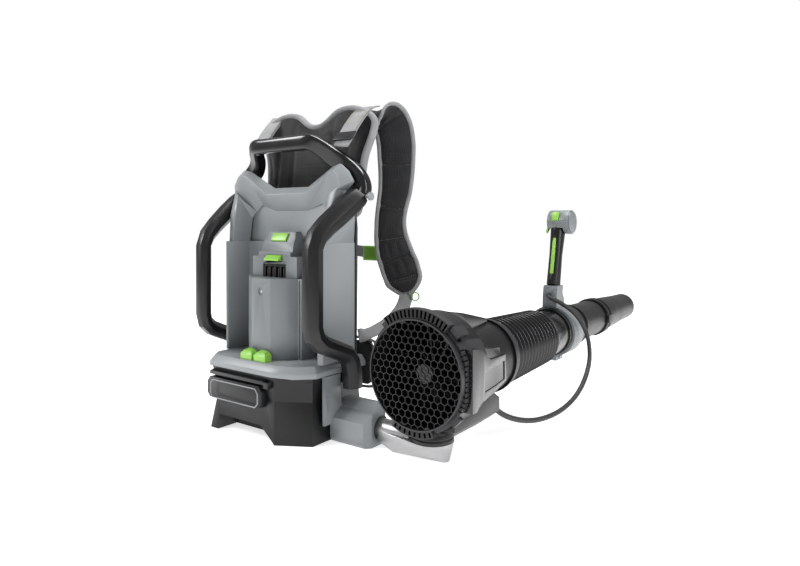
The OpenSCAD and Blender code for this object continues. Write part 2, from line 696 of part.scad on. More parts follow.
// Hub with guide vanes that holds the motor in the air stream
module stator_hub() {
    color(BLACK) {
        turned_y([[0, 150], [14, 148], [26, 132], [32, 108], [32, 40], [29, 40], [29, 104], [0, 104]],
            swivel_x, tube_z + 4);
        for (a = [0 : 72 : 288]) translate([swivel_x, 0, tube_z + 4]) rotate([0, a, 0])
            block([31, 104, -1.5], [59, 132, 1.5]);
    }
}

module motor() {
    color(SILVER) {
        disc_y(28.5, 42, 103, swivel_x, tube_z + 4);
        disc_y(4, 20, 42, swivel_x, tube_z + 4);
    }
}

// Axial impeller on the motor's shaft
module impeller() {
    color(BLACK) translate([swivel_x, 0, tube_z + 4]) {
        rotate([-90, 0, 0]) difference() {
            translate([0, 0, -16]) cylinder(r1 = 16, r2 = 26, h = 54);
            translate([0, 0, 19]) cylinder(r = 4.06, h = 40);
        }
        for (i = [0 : blades - 1]) rotate([0, i * 360 / blades, 0])
            translate([22, 10, 0]) rotate([40, 0, 0]) block([-2, -15, -1.2], [58, 15, 1.2]);
    }
}

bellows_folds = 14;
function bellows_r(u) = 66 - 6.5 * u;
module bellows() {
    step = (bellows_y1 - bellows_y0) / bellows_folds;
    outer = [for (i = [0 : bellows_folds - 1]) let (y = bellows_y0 + i * step, r = bellows_r(i / bellows_folds))
        each [[r - 5, y + 0.1], [r, y + step * 0.36], [r, y + step * 0.62]]];
    inner = [for (i = [bellows_folds - 1 : -1 : 0]) let (y = bellows_y0 + i * step, r = bellows_r(i / bellows_folds) - 2)
        each [[r, y + step * 0.62], [r, y + step * 0.36], [r - 5, y + 0.1]]];
    color(BLACK) turned_y(concat(outer, [[57, bellows_y1], [55, bellows_y1]], inner), swivel_x, tube_z);
}

// Band at the duct's end of the hose
module hose_clamps() {
    color(BLACK) ring_y(duct_r + 2.5, duct_r, bellows_y0 - 8, bellows_y0 - 0.2, swivel_x, tube_z);
}

// ---------- tubes ----------

module rear_tube() {
    color(BLACK) turned_y([[tube_r, bellows_y1 - 12], [tube_r, clamp_y0], [tube_r, joint1_y + 12],
        [tube_r + 1.5, joint1_y + 14], [tube_r + 1.5, joint1_y + 30], [mid_r + 0.4, joint1_y + 30],
        [mid_r + 0.4, joint1_y - 22], [tube_r - 2, joint1_y - 24], [tube_r - 2, bellows_y1 - 12]], swivel_x, tube_z);
    color(BLACK) ring_y(54.5, tube_r, bellows_y1 - 4, bellows_y1 + 12, swivel_x, tube_z);
    color(BLACK) ring_y(tube_r + 3, tube_r, 490, 504.5, swivel_x, tube_z);
}

// Split grey clamp that carries the handle
module handle_clamp() {
    color(GREY) difference() {
        union() {
            ring_y(clamp_r, tube_r, clamp_y0, clamp_y1, swivel_x, tube_z);
            block([swivel_x - 10, clamp_y0 + 8, tube_z - 68], [swivel_x + 10, clamp_y1 - 8, tube_z - 51]);
        }
        block([swivel_x - 1, clamp_y0 - 1, tube_z - 70], [swivel_x + 1, clamp_y1 + 1, tube_z - tube_r + 1]);
        translate([swivel_x - 20, (clamp_y0 + clamp_y1) / 2, tube_z - 62]) rotate([0, 90, 0]) cylinder(r = 2.6, h = 40);
    }
}

// Screw that draws the split clamp together
module clamp_screw() {
    color(SILVER) translate([swivel_x - 13, (clamp_y0 + clamp_y1) / 2, tube_z - 62]) rotate([0, 90, 0]) {
        cylinder(r = 2.4, h = 26);
        cylinder(r = 4.5, h = 2.8);
    }
}

module mid_tube() {
    color(BLACK) turned_y([[mid_r, joint1_y - 20], [mid_r, joint1_y + 32], [mid_r + 1, joint1_y + 34],
        [mid_r + 1, joint1_y + 40], [mid_r, joint1_y + 44], [mid_r - 2.5, joint2_y - 40], [40, joint2_y - 36],
        [40, joint2_y + 6], [38, joint2_y + 6], [38, joint2_y - 34], [mid_r - 4.5, joint2_y - 43],
        [mid_r - 2, joint1_y + 50],
        [mid_r - 2, joint1_y - 20]], swivel_x, tube_z);
    // Bayonet lugs
    color(BLACK) for (a = [0, 180]) translate([swivel_x, joint2_y - 16, tube_z]) rotate([0, -a, 0])
        block([39, 0, -4.6], [41.8, 8, 4.6]);
}

// Tapered nozzle; its socket turns on the middle tube to lock the bayonet
module nozzle() {
    y0 = joint2_y - 34;
    color(BLACK) difference() {
        turned_y([[45.8, y0], [45.8, joint2_y], [43.6, joint2_y + 6], [42.5, joint2_y + 60], [tip_r + 1, tip_y - 60],
            [tip_r, tip_y], [tip_r - 2, tip_y], [tip_r - 1, tip_y - 60], [40.05, joint2_y + 40],
            [40.05, y0]], swivel_x, tube_z);
        // Bayonet slots: wide enough for a lug to turn through thirty degrees
        for (a = [0, 180]) translate([swivel_x, joint2_y - 16.3, tube_z]) rotate([-90, a, 0])
            linear_extrude(8.6) polygon(concat([for (b = [-9, 3, 15, 27, 39]) 39 * [cos(b), sin(b)]],
                [for (b = [39, 27, 15, 3, -9]) 42.4 * [cos(b), sin(b)]]));
    }
}

// ---------- control handle ----------

// Places its children in the grip's leaning frame, with the origin at the foot of the grip
module leaning() { translate([swivel_x, grip_y, 245]) rotate([-grip_lean, 0, 0]) children(); }

module handle_base() {
    color(GREY) difference() {
        slab_x([[498, 192], [548, 192], [544, 214], [536, 226], [539, 244], [505, 244], [500, 222]],
            swivel_x - 17, swivel_x + 17);
        disc_y(clamp_r, 490, 570, swivel_x, tube_z);
        translate([318, 488, 222]) rotate([-90, 0, 0]) cylinder(r = cable_d / 2 + 0.3, h = 15.1);
        translate([swivel_x - 30, 534, 204]) rotate([0, 90, 0]) cylinder(r = 2, h = 60);
    }
}

module grip() {
    color(BLACK) difference() {
        union() {
            hull() {
                leaning() translate([0, 2, 0]) scale([1, 1.14, 1]) cylinder(r = 15.5, h = 1, $fn = 32);
                leaning() translate([0, 1, 70]) scale([1, 1.1, 1]) cylinder(r = 14.5, h = 1, $fn = 32);
            }
            hull() {
                leaning() translate([0, 1, 70]) scale([1, 1.1, 1]) cylinder(r = 14.5, h = 1, $fn = 32);
                leaning() translate([0, 2, 131]) scale([1, 1.2, 1]) cylinder(r = 16.5, h = 1, $fn = 32);
            }
        }
        leaning() block([-4, -30, 24], [4, -10.5, 108]);
        // Slot of the trigger
        leaning() block([-6.3, -7, 48], [6.3, 30, 108]);
        block([200, 400, 200], [400, 600, 244]);
    }
}

// Green strip let into the rear of the grip
module grip_inlay() {
    color(GREEN) leaning() block([-4, -15.6, 24], [4, -10.5, 108]);
}

module handle_head() {
    color(GREY) difference() {
        union() {
            translate([swivel_x - 20, head_y, head_z]) rotate([0, 90, 0]) cylinder(r = 28, h = 50);
            translate([swivel_x + 30, head_y, head_z]) rotate([0, 90, 0]) cylinder(r = 25, h = 3);
        }
        // Flat seat on the grip
        leaning() block([-40, -40, 95], [17.5, 22, 132]);
        // Well of the boost button and of the cruise lever
        translate([swivel_x, head_y, head_z]) rotate([-12, 0, 0]) block([-8 - gap, -34, -2 - gap], [8 + gap, -16, 18 + gap]);
        translate([swivel_x - 21, head_y, head_z]) rotate([0, 90, 0]) cylinder(r = 8.06, h = 9);
    }
}

module boost_button() {
    color(GREEN) translate([swivel_x, head_y, head_z]) rotate([-12, 0, 0]) block([-8, -30.5, -2], [8, -21, 18]);
}

module trigger() {
    side = [[5, 100], [13, 104], [17, 100], [24, 84], [25, 66], [21, 54], [14, 52], [5, 56]];
    color(GREEN) leaning() slab_x(side, -5.9, 5.9);
}

module cruise_lever() {
    color(GREEN) translate([swivel_x - 25, head_y, head_z]) rotate([0, 90, 0]) {
        cylinder(r = 8, h = 12);
        linear_extrude(4) polygon([[-6, -5], [4, -7.9], [22, -22], [26, -18], [6, 7]]);
    }
}

module control_cable() {
    color(BLACK) sweep(cable_route, circle_section(cable_d / 2, 10), [0.9, 0.1, 0.35]);
}

base_housing();
base_cover();
controller_board();
heat_sink();
badge_plate();
shelf_cap();
ejector();
spine_shell();
shell_rim();
battery_rail();
terminal_head();
terminal_block();
terminal_blades();
latch_wedge();
release_button();
side_box();
arm_bush();
guard_left();
guard_right();
top_handle();
hanging_peg();
back_plate();
frame_screws();
lumbar_pad();
yoke_pad();
shoulder_strap_left();
shoulder_strap_right();
lifter_straps();
lifter_buckles();
lower_webbing();
chest_strap();
chest_buckle();
pull_loops();
pivot_arm();
swivel_boot();
fan_housing();
intake_grille();
side_cover();
top_cover();
lower_pod();
swivel_pin();
cable_gland();
stator_hub();
motor();
impeller();
bellows();
hose_clamps();
rear_tube();
handle_clamp();
clamp_screw();
mid_tube();
nozzle();
handle_base();
grip();
grip_inlay();
handle_head();
boost_button();
trigger();
cruise_lever();
control_cable();
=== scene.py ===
import math
import bpy
import bmesh
from mathutils import Matrix, Vector


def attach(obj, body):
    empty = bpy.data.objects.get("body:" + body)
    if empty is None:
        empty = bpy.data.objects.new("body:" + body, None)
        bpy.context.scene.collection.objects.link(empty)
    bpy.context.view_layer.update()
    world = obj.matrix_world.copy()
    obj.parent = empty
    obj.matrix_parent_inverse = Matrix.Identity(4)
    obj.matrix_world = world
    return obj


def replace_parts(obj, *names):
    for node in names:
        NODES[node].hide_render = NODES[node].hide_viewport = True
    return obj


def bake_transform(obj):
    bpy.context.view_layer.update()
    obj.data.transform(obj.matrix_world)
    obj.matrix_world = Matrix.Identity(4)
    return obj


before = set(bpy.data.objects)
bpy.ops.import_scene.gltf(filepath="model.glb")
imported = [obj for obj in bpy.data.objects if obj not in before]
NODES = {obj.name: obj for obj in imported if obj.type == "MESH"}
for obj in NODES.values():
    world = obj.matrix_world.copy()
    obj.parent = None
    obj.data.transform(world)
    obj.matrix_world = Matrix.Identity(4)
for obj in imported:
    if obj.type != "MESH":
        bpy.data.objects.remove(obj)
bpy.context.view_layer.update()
SCENE = bpy.context.scene
MM = 0.001

# ---------- camera ----------

cam_data = bpy.data.cameras.new("camera")
cam = bpy.data.objects.new("camera", cam_data)
SCENE.collection.objects.link(cam)
SCENE.camera = cam
cam.location = (0.888, -0.864, 0.390)
cam.rotation_euler = (math.radians(90), 0, math.radians(36))
cam_data.sensor_width = 36
cam_data.lens = 28.2
cam_data.shift_y = -0.076
cam_data.clip_start = 0.01


# ---------- mesh helpers ----------

CURVE_STEPS = 24
UP = Vector((0, 0, 1))


def new_object(name, data, material=None):
    """An object with this mesh, linked into the scene."""
    obj = bpy.data.objects.new(name, data)
    SCENE.collection.objects.link(obj)
    if material:
        data.materials.append(material)
    return obj


def mesh_object(name, verts, faces, material=None, smooth=True):
    """A mesh object in the row frame."""
    data = bpy.data.meshes.new(name)
    data.from_pydata([tuple(v) for v in verts], [], faces)
    data.update()
    if smooth:
        data.polygons.foreach_set("use_smooth", [True] * len(data.polygons))
    return new_object(name, data, material)


def in_metres(points, side=1):
    """Points given in mm; side is -1 for the mirror image on the left."""
    return [Vector((side * x, y, z)) * MM for x, y, z in points]


def smooth_path(points, step):
    """Points at even steps along a Catmull-Rom curve through the given ones."""
    ext = [points[0] * 2 - points[1]] + points + [points[-1] * 2 - points[-2]]
    fine = []
    for i in range(1, len(ext) - 2):
        a, b, c, d = ext[i - 1:i + 3]
        for k in range(CURVE_STEPS):
            t = k / CURVE_STEPS
            fine.append(0.5 * ((2 * b) + (c - a) * t + (2 * a - 5 * b + 4 * c - d) * t * t
                               + (3 * b - a - 3 * c + d) * t ** 3))
    fine.append(points[-1])
    return even(fine, step)


def even(line, step):
    """The same line with points at even steps."""
    dist = [0.0]
    for p, q in zip(line, line[1:]):
        dist.append(dist[-1] + (q - p).length)
    n = max(2, round(dist[-1] / step))
    out, k = [], 0
    for i in range(n + 1):
        d = dist[-1] * i / n
        while k < len(line) - 2 and dist[k + 1] < d:
            k += 1
        span = max(1e-9, dist[k + 1] - dist[k])
        out.append(line[k].lerp(line[k + 1], min(1, (d - dist[k]) / span)))
    return out


def length_of(line):
    return sum((q - p).length for p, q in zip(line, line[1:]))


def tangent(path, i):
    """The direction of an open path at one of its points."""
    return (path[min(i + 1, len(path) - 1)] - path[max(i - 1, 0)]).normalized()


def square_to(v, t):
    """The part of v that is at right angles to t, as a direction."""
    return (v - t * v.dot(t)).normalized()


def circle(sides):
    return [2 * math.pi * k / sides for k in range(sides)]


def frames(path):
    """Tangent, side and normal at each point, carried along without twist."""
    out, side = [], None
    for i in range(len(path)):
        t = tangent(path, i)
        if side is None:
            side = t.cross(UP).normalized()
        side = square_to(side, t)
        out.append((t, side, t.cross(side)))
    return out


def skin(rings, loop=False):
    """Vertices and faces of a skin over equal rings: closed into a loop, or open with both ends capped."""
    n = len(rings[0])
    verts = [v for r in rings for v in r]
    faces = []
    for i in range(len(rings) if loop else len(rings) - 1):
        a, b = i * n, ((i + 1) % len(rings)) * n
        for j in range(n):
            k = (j + 1) % n
            faces.append((a + j, a + k, b + k, b + j))
    if not loop:
        faces.append(tuple(range(n - 1, -1, -1)))
        faces.append(tuple(range((len(rings) - 1) * n, len(rings) * n)))
    return verts, faces


def tube(name, path, radius, material, sides, ribs=(1,), loop=False):
    """A round tube along a path; ribs scale the radius at one ring after another."""
    rings = []
    for i, (p, (t, s, n)) in enumerate(zip(path, frames(path))):
        r = radius * ribs[i % len(ribs)]
        rings.append([p + (s * math.cos(a) + n * math.sin(a)) * r for a in circle(sides)])
    verts, faces = skin(rings, loop)
    return mesh_object(name, verts, faces, material)


def ribbon(name, path, wide, material, width, thick):
    """A flat band with soft edges; wide is the direction across it."""
    h, e = width / 2, thick / 2
    under = [(-h, -e * 0.5), (-h * 0.96, -e), (-h * 0.4, -e * 1.12), (0, -e),
             (h * 0.4, -e * 1.12), (h * 0.96, -e), (h, -e * 0.5)]
    section = under + [(x, -y) for x, y in under[::-1]]
    rings = []
    for i, p in enumerate(path):
        t = tangent(path, i)
        w = square_to(Vector(wide), t)
        n = t.cross(w)
        rings.append([p + w * x + n * y for x, y in section])
    verts, faces = skin(rings)
    return mesh_object(name, verts, faces, material)


STITCH_STEP = 0.0042
STITCH_LENGTH = 0.0027
THREAD_R = 0.00045


def stitches(name, path, out, material):
    """A row of raised threads along a path; out is the direction off the surface."""
    line = even(path, STITCH_STEP)
    verts, faces = [], []
    for a, b in zip(line, line[1:]):
        t = (b - a).normalized()
        o = square_to(Vector(out), t)
        s = t.cross(o)
        mid = (a + b) / 2
        rings = []
        for u, k in ((-0.5, 0.35), (-0.3, 1), (0.3, 1), (0.5, 0.35)):
            rings.append([mid + t * u * STITCH_LENGTH + s * x * THREAD_R * k + o * y * THREAD_R * k
                          for x, y in ((-1, -0.6), (-1, 0.5), (0, 1), (1, 0.5), (1, -0.6))])
        base = len(verts)
        points, around = skin(rings)
        verts += points
        faces += [tuple(base + j for j in face) for face in around]
    return mesh_object(name, verts, faces, material)


def clean(obj, angle):
    """Welds doubles, points the faces outwards and keeps edges over the angle sharp."""
    bm = bmesh.new()
    bm.from_mesh(obj.data)
    bmesh.ops.remove_doubles(bm, verts=bm.verts, dist=1e-6)
    bmesh.ops.recalc_face_normals(bm, faces=bm.faces)
    bm.to_mesh(obj.data)
    bm.free()
    obj.data.set_sharp_from_angle(angle=math.radians(angle))


def rounded_block(name, lo, hi, material, bevel):
    """A block between two corners, with rounded edges."""
    bm = bmesh.new()
    bmesh.ops.create_cube(bm, size=1)
    for v in bm.verts:
        v.co = Vector([lo[k] + (v.co[k] + 0.5) * (hi[k] - lo[k]) for k in range(3)])
    bmesh.ops.bevel(bm, geom=bm.edges[:], offset=bevel, segments=3, profile=0.5, affect="EDGES")
    data = bpy.data.meshes.new(name)
    bm.to_mesh(data)
    bm.free()
    data.polygons.foreach_set("use_smooth", [True] * len(data.polygons))
    data.set_sharp_from_angle(angle=math.radians(50))
    return new_object(name, data, material)


def on_pack(obj):
    """The piece rides on the pack."""
    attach(obj, "pack")
    return obj


# ---------- materials ----------

class Shader:
    """One procedural material: colour variation, roughness variation and bump."""

    def __init__(self, name, color, rough, metallic=0.0, **sockets):
        self.mat = bpy.data.materials.new(name)
        self.mat.use_nodes = True
        self.t = self.mat.node_tree
        self.b = self.t.nodes["Principled BSDF"]
        self.b.inputs["Metallic"].default_value = metallic
        for k, v in sockets.items():
            self.b.inputs[k.replace("_", " ")].default_value = v
        self.coord = self.add("ShaderNodeTexCoord").outputs["Object"]
        self.color, self.rough = color, rough
        self.normal = None

    def add(self, kind, **values):
        n = self.t.nodes.new(kind)
        for k, v in values.items():
            if hasattr(n, k):
                setattr(n, k, v)
            else:
                n.inputs[k].default_value = v
        return n

    def link(self, a, b):
        self.t.links.new(a, b)

    def noise(self, scale, detail, stretch=None):
        n = self.add("ShaderNodeTexNoise", Scale=scale, Detail=detail)
        src = self.coord
        if stretch:
            m = self.add("ShaderNodeMapping")
            m.inputs["Scale"].default_value = stretch
            self.link(src, m.inputs["Vector"])
            src = m.outputs["Vector"]
        self.link(src, n.inputs["Vector"])
        return n.outputs["Fac"]

    def ramp(self, fac, stops):
        r = self.add("ShaderNodeValToRGB")
        e = r.color_ramp.elements
        while len(e) < len(stops):
            e.new(0.5)
        for k, (p, c) in enumerate(stops):
            e[k].position = p
            e[k].color = (*c, 1) if hasattr(c, "__len__") else (c, c, c, 1)
        self.link(fac, r.inputs["Fac"])
        return r.outputs["Color"]

    def vary(self, scale, amount, detail=4.0, stretch=None):
        """Colour and roughness drift a little over the surface."""
        n = self.noise(scale, detail, stretch)
        lo = [max(0, c * (1 - amount)) for c in self.color]
        hi = [min(1, c * (1 + amount)) for c in self.color]
        self.base = self.ramp(n, [(0.3, lo), (0.7, hi)])
        self.link(self.base, self.b.inputs["Base Color"])
        r = self.ramp(self.noise(scale * 1.7, detail),
                      [(0.3, self.rough * 0.88), (0.7, min(1, self.rough * 1.12))])
        self.link(r, self.b.inputs["Roughness"])
        return self

    def edges(self, color, amount):
        """Painted highlight: sharp outward edges are made slightly lighter."""
        g = self.add("ShaderNodeNewGeometry")
        mask = self.ramp(g.outputs["Pointiness"], [(0.52, 0.0), (0.60, amount)])
        mix = self.add("ShaderNodeMix", data_type="RGBA")
        self.link(mask, mix.inputs[0])
        self.link(self.base, mix.inputs[6])
        mix.inputs[7].default_value = (*color, 1)
        self.base = mix.outputs[2]
        self.link(self.base, self.b.inputs["Base Color"])
        return self

    def bump(self, height, strength, distance):
        n = self.add("ShaderNodeBump", Strength=strength, Distance=distance)
        self.link(height, n.inputs["Height"])
        if self.normal:
            self.link(self.normal, n.inputs["Normal"])
        self.normal = n.outputs["Normal"]
        self.link(self.normal, self.b.inputs["Normal"])
        return self

    def grain(self, scale, strength, distance):
        return self.bump(self.noise(scale, 2.0), strength, distance)

    def wave(self, scale, direction):
        n = self.add("ShaderNodeTexWave", Scale=scale, Distortion=0.0, bands_direction=direction)
        self.link(self.coord, n.inputs["Vector"])
        return n.outputs["Fac"]

    def math(self, op, a, b):
        n = self.add("ShaderNodeMath", operation=op)
        self.link(a, n.inputs[0])
        self.link(b, n.inputs[1])
        return n.outputs[0]

    def shade(self, mask, amount):
        """Darkens the colour where the mask is dark."""
        tone = self.add("ShaderNodeMix", data_type="RGBA", blend_type="MULTIPLY")
        tone.inputs[0].default_value = amount
        self.link(self.base, tone.inputs[6])
        self.link(mask, tone.inputs[7])
        self.base = tone.outputs[2]
        self.link(self.base, self.b.inputs["Base Color"])
        return self

    def weave(self, scale, strength, distance):
        """Over-and-under threads in three directions, so that no side shows it stretched; painted shade
        darkens the low places between the threads.
        """
        h = self.math("MULTIPLY", self.wave(scale, "X"), self.wave(scale, "Z"))
        h2 = self.math("MULTIPLY", self.wave(scale, "Y"), self.wave(scale * 1.01, "Z"))
        h = self.math("MAXIMUM", h, h2)
        self.shade(self.ramp(h, [(0.0, 0.35), (0.8, 1.0)]), 0.55)
        return self.bump(h, strength, distance)


M = {}

# Moulded plastics: a fine grain, and a painted highlight that makes the edges a little lighter
grey = Shader("grey_plastic", (0.150, 0.163, 0.172), 0.42)
grey.vary(9, 0.05).edges((0.30, 0.32, 0.33), 0.55)
M["grey"] = grey.grain(1400, 0.10, 0.0002).mat
rim = Shader("grey_rim_plastic", (0.215, 0.230, 0.240), 0.38)
rim.vary(9, 0.05).edges((0.36, 0.38, 0.39), 0.5)
M["rim"] = rim.grain(1400, 0.08, 0.0002).mat
black = Shader("black_plastic", (0.0045, 0.0045, 0.0052), 0.34, Specular_IOR_Level=0.34)
black.vary(14, 0.18).edges((0.040, 0.040, 0.043), 0.7)
M["black"] = black.grain(1200, 0.25, 0.0003).mat
gloss = Shader("black_gloss_plastic", (0.0035, 0.0035, 0.0042), 0.22,
               Specular_IOR_Level=0.40, Coat_Weight=0.25, Coat_Roughness=0.10)
gloss.vary(12, 0.15).edges((0.04, 0.04, 0.042), 0.4)
M["gloss"] = gloss.grain(500, 0.04, 0.0002).mat
matte = Shader("matte_tube_plastic", (0.0045, 0.0045, 0.0050), 0.36, Specular_IOR_Level=0.34)
M["nozzle"] = matte.vary(12, 0.2).grain(1500, 0.35, 0.0003).mat
green = Shader("green_plastic", (0.200, 0.480, 0.045), 0.34, Subsurface_Weight=0.03)
green.vary(20, 0.05).edges((0.34, 0.62, 0.12), 0.4)
M["green"] = green.grain(1500, 0.06, 0.0002).mat

# Metals; silver and steel are stretched one way, as brushed and turned metal is
silver = Shader("satin_casting", (0.40, 0.40, 0.405), 0.36, 0.9)
M["silver"] = silver.vary(30, 0.05, 4, (0.2, 1, 1)).grain(1800, 0.22, 0.0002).mat
steel = Shader("turned_steel", (0.50, 0.50, 0.51), 0.28, 1.0)
M["steel"] = steel.vary(60, 0.08, 3, (1, 1, 8)).grain(2000, 0.10, 0.0001).mat
contact = Shader("plated_contact", (0.16, 0.15, 0.13), 0.34, 1.0)
M["brass"] = contact.vary(60, 0.1).grain(1500, 0.1, 0.0001).mat
cast = Shader("inner_casting", (0.20, 0.20, 0.21), 0.6, 0.4)
M["cast"] = cast.vary(40, 0.1).grain(900, 0.5, 0.0005).mat

# Rubber, the cable's jacket and the hose, whose fold crests carry a painted highlight that makes them lighter
rubber = Shader("matte_rubber", (0.008, 0.008, 0.0085), 0.5)
M["rubber"] = rubber.vary(25, 0.2).grain(1100, 0.35, 0.0003).mat
jacket = Shader("cable_jacket", (0.020, 0.020, 0.021), 0.55)
M["cable"] = jacket.vary(40, 0.2).grain(1500, 0.3, 0.0002).mat
hose = Shader("hose_rubber", (0.0035, 0.0035, 0.0040), 0.22)
hose.vary(25, 0.2).edges((0.07, 0.07, 0.073), 0.7)
M["hose"] = hose.grain(900, 0.04, 0.0002).mat

# Woven fabric of the pads
fabric = Shader("pad_fabric", (0.011, 0.011, 0.013), 0.82, Sheen_Weight=0.25, Sheen_Roughness=0.45)
fabric.vary(18, 0.14).weave(420, 0.55, 0.0006)
M["fabric"] = fabric.bump(fabric.noise(26, 3.0), 0.16, 0.003).mat

# Spacer mesh of the shoulder straps: open cells with painted shade inside them, and raised threads between
# them
spacer = Shader("spacer_mesh", (0.014, 0.014, 0.016), 0.85, Sheen_Weight=0.3, Sheen_Roughness=0.4)
spacer.vary(18, 0.14)
cell = spacer.add("ShaderNodeTexVoronoi", Scale=330.0, feature="DISTANCE_TO_EDGE", Randomness=0.25)
spacer.link(spacer.coord, cell.inputs["Vector"])
# Painted shade: the colour is darkened towards the middle of each cell
spacer.shade(spacer.ramp(cell.outputs["Distance"], [(0.06, 1.0), (0.28, 0.22)]), 0.8)
spacer.bump(spacer.ramp(cell.outputs["Distance"], [(0.06, 1.0), (0.30, 0.0)]), 0.7, 0.0009)
M["mesh"] = spacer.bump(spacer.noise(30, 3.0), 0.15, 0.003).mat

# Webbing, binding tape, threads and cords
web = Shader("grey_webbing", (0.36, 0.365, 0.37), 0.75, Sheen_Weight=0.2)
M["web"] = web.vary(30, 0.08).weave(600, 0.6, 0.0005).mat
bind = Shader("grey_binding", (0.30, 0.305, 0.31), 0.78, Sheen_Weight=0.2)
M["binding"] = bind.vary(30, 0.1).weave(700, 0.5, 0.0004).mat
thread = Shader("sewing_thread", (0.16, 0.155, 0.14), 0.7)
M["thread"] = thread.vary(60, 0.1).grain(3000, 0.4, 0.0001).mat
pale = Shader("pale_thread", (0.42, 0.37, 0.22), 0.7)
M["pale_thread"] = pale.vary(60, 0.1).grain(3000, 0.4, 0.0001).mat
loop_cord = Shader("green_cord", (0.17, 0.42, 0.06), 0.7)
M["green_cord"] = loop_cord.vary(60, 0.12).grain(2500, 0.5, 0.0003).mat

# ---------- CAD nodes ----------

NODE_LOOK = {
    "grey": "side_box handle_base handle_head hanging_peg handle_clamp battery_rail terminal_head",
    "rim": "shelf_cap spine_shell shell_rim",
    "black": "base_housing intake_grille grip hose_clamps base_cover badge_plate terminal_block arm_bush "
             "guard_left guard_right top_handle back_plate lifter_buckles fan_housing lower_pod cable_gland "
             "stator_hub controller_board",
    "gloss": "side_cover top_cover impeller rear_tube",
    "nozzle": "mid_tube nozzle",
    "green": "grip_inlay ejector latch_wedge release_button boost_button trigger cruise_lever chest_buckle",
    "silver": "pivot_arm motor", "steel": "swivel_pin clamp_screw frame_screws", "cast": "heat_sink",
    "brass": "terminal_blades", "rubber": "swivel_boot bellows", "fabric": "lumbar_pad yoke_pad",
    "mesh": "shoulder_strap_left shoulder_strap_right", "web": "lifter_straps lower_webbing chest_strap",
    "green_cord": "pull_loops", "cable": "control_cable"}
for look, names in NODE_LOOK.items():
    for name in names.split():
        data = NODES[name].data
        data.materials.clear()
        data.materials.append(M[look])
        data.polygons.foreach_set("use_smooth", [True] * len(data.polygons))
        data.set_sharp_from_angle(angle=math.radians(28))

# Rounded edges on the moulded parts, by the width of the rounding
ROUNDED = {
    0.0016: "base_housing shelf_cap spine_shell shell_rim guard_left guard_right top_handle side_box",
    0.0008: "terminal_head battery_rail badge_plate ejector release_button latch_wedge grip handle_base "
            "side_cover top_cover lower_pod trigger cruise_lever boost_button chest_buckle terminal_block "
            "lifter_buckles pivot_arm handle_head handle_clamp"}
for width, names in ROUNDED.items():
    for name in names.split():
        modifiers = NODES[name].modifiers
        modifiers.new("weld", "WELD").merge_threshold = 0.00002
        flat = modifiers.new("planar", "DECIMATE")
        flat.decimate_type = "DISSOLVE"
        flat.angle_limit = math.radians(0.6)
        bevel = modifiers.new("bevel", "BEVEL")
        bevel.width = width
        bevel.segments = 2
        bevel.limit_method = "ANGLE"
        bevel.angle_limit = math.radians(24)
        bevel.harden_normals = True

# ---------- control cable ----------
# The route's points are in mm, from the gland on the fan unit down almost to the floor
# and up to the handle.

CABLE_D = 0.010
CABLE_RIBS = (1.0, 0.985, 0.93, 0.985)
CABLE = [(368, 122, 62), (368, 130, 61), (370, 142, 55), (374, 160, 43), (380, 185, 31), (388, 215, 21),
         (396, 250, 14), (403, 290, 11), (409, 330, 12), (413, 370, 17), (415, 410, 26), (415, 450, 41),
         (413, 485, 61), (410, 510, 85), (405, 523, 112), (399, 524, 138), (391, 517, 162), (379, 508, 183),
         (362, 500, 199), (343, 493, 211), (330, 488, 217), (321, 491, 221), (318, 497, 222), (318, 503, 222)]
route = smooth_path(in_metres(CABLE), 0.0011)
cable = tube("control_cable_skin", route, CABLE_D / 2, M["cable"], 12, CABLE_RIBS)
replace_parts(cable, "control_cable")
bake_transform(cable)

# ---------- stuffed pads ----------

CLOTH_FRAMES = 20
CLOTH_PRESSURE = 4.0
CLOTH_STIFFNESS = 18


def inflate(obj, cap):
    """Blows the mesh up as cloth under pressure; no point moves further than the cap."""
    data = obj.data
    rest = [v.co.copy() for v in data.vertices]
    cloth = obj.modifiers.new("cloth", "CLOTH")
    cloth.settings.quality = 4
    cloth.settings.use_pressure = True
    cloth.settings.uniform_pressure_force = CLOTH_PRESSURE
    cloth.settings.tension_stiffness = CLOTH_STIFFNESS
    cloth.settings.compression_stiffness = CLOTH_STIFFNESS
    cloth.settings.bending_stiffness = 1.0
    cloth.settings.effector_weights.gravity = 0
    cloth.point_cache.frame_start = 1
    cloth.point_cache.frame_end = CLOTH_FRAMES
    for number in range(1, CLOTH_FRAMES + 1):
        SCENE.frame_set(number)
    blown = obj.evaluated_get(bpy.context.evaluated_depsgraph_get())
    moved = [v.co.copy() for v in blown.to_mesh().vertices]
    blown.to_mesh_clear()
    obj.modifiers.clear()
    SCENE.frame_set(1)
    for v, a, b in zip(data.vertices, rest, moved):
        d = b - a
        v.co = a + d.normalized() * min(d.length, cap)


def pillow(node, name, voxel, shrink, cap):
    """A stuffed copy of a CAD pad: remeshed, softened, shrunk a little and blown up by a cloth simulation."""
    data = NODES[node].data.copy()
    data.name = name
    data.materials.clear()
    obj = new_object(name, data, M["fabric"])
    bpy.context.view_layer.objects.active = obj
    remesh = obj.modifiers.new("remesh", "REMESH")
    remesh.mode = "VOXEL"
    remesh.voxel_size = voxel
    even_mesh = bpy.data.meshes.new_from_object(obj.evaluated_get(bpy.context.evaluated_depsgraph_get()))
    obj.modifiers.clear()
    obj.data = even_mesh
    bm = bmesh.new()
    bm.from_mesh(even_mesh)
    for _ in range(4):
        bmesh.ops.smooth_vert(bm, verts=bm.verts, factor=0.5,
                              use_axis_x=True, use_axis_y=True, use_axis_z=True)
    bm.normal_update()
    for v in bm.verts:
        v.co -= v.normal * shrink
    bm.to_mesh(even_mesh)
    bm.free()
    inflate(obj, cap)
    even_mesh.polygons.foreach_set("use_smooth", [True] * len(even_mesh.polygons))
    return obj


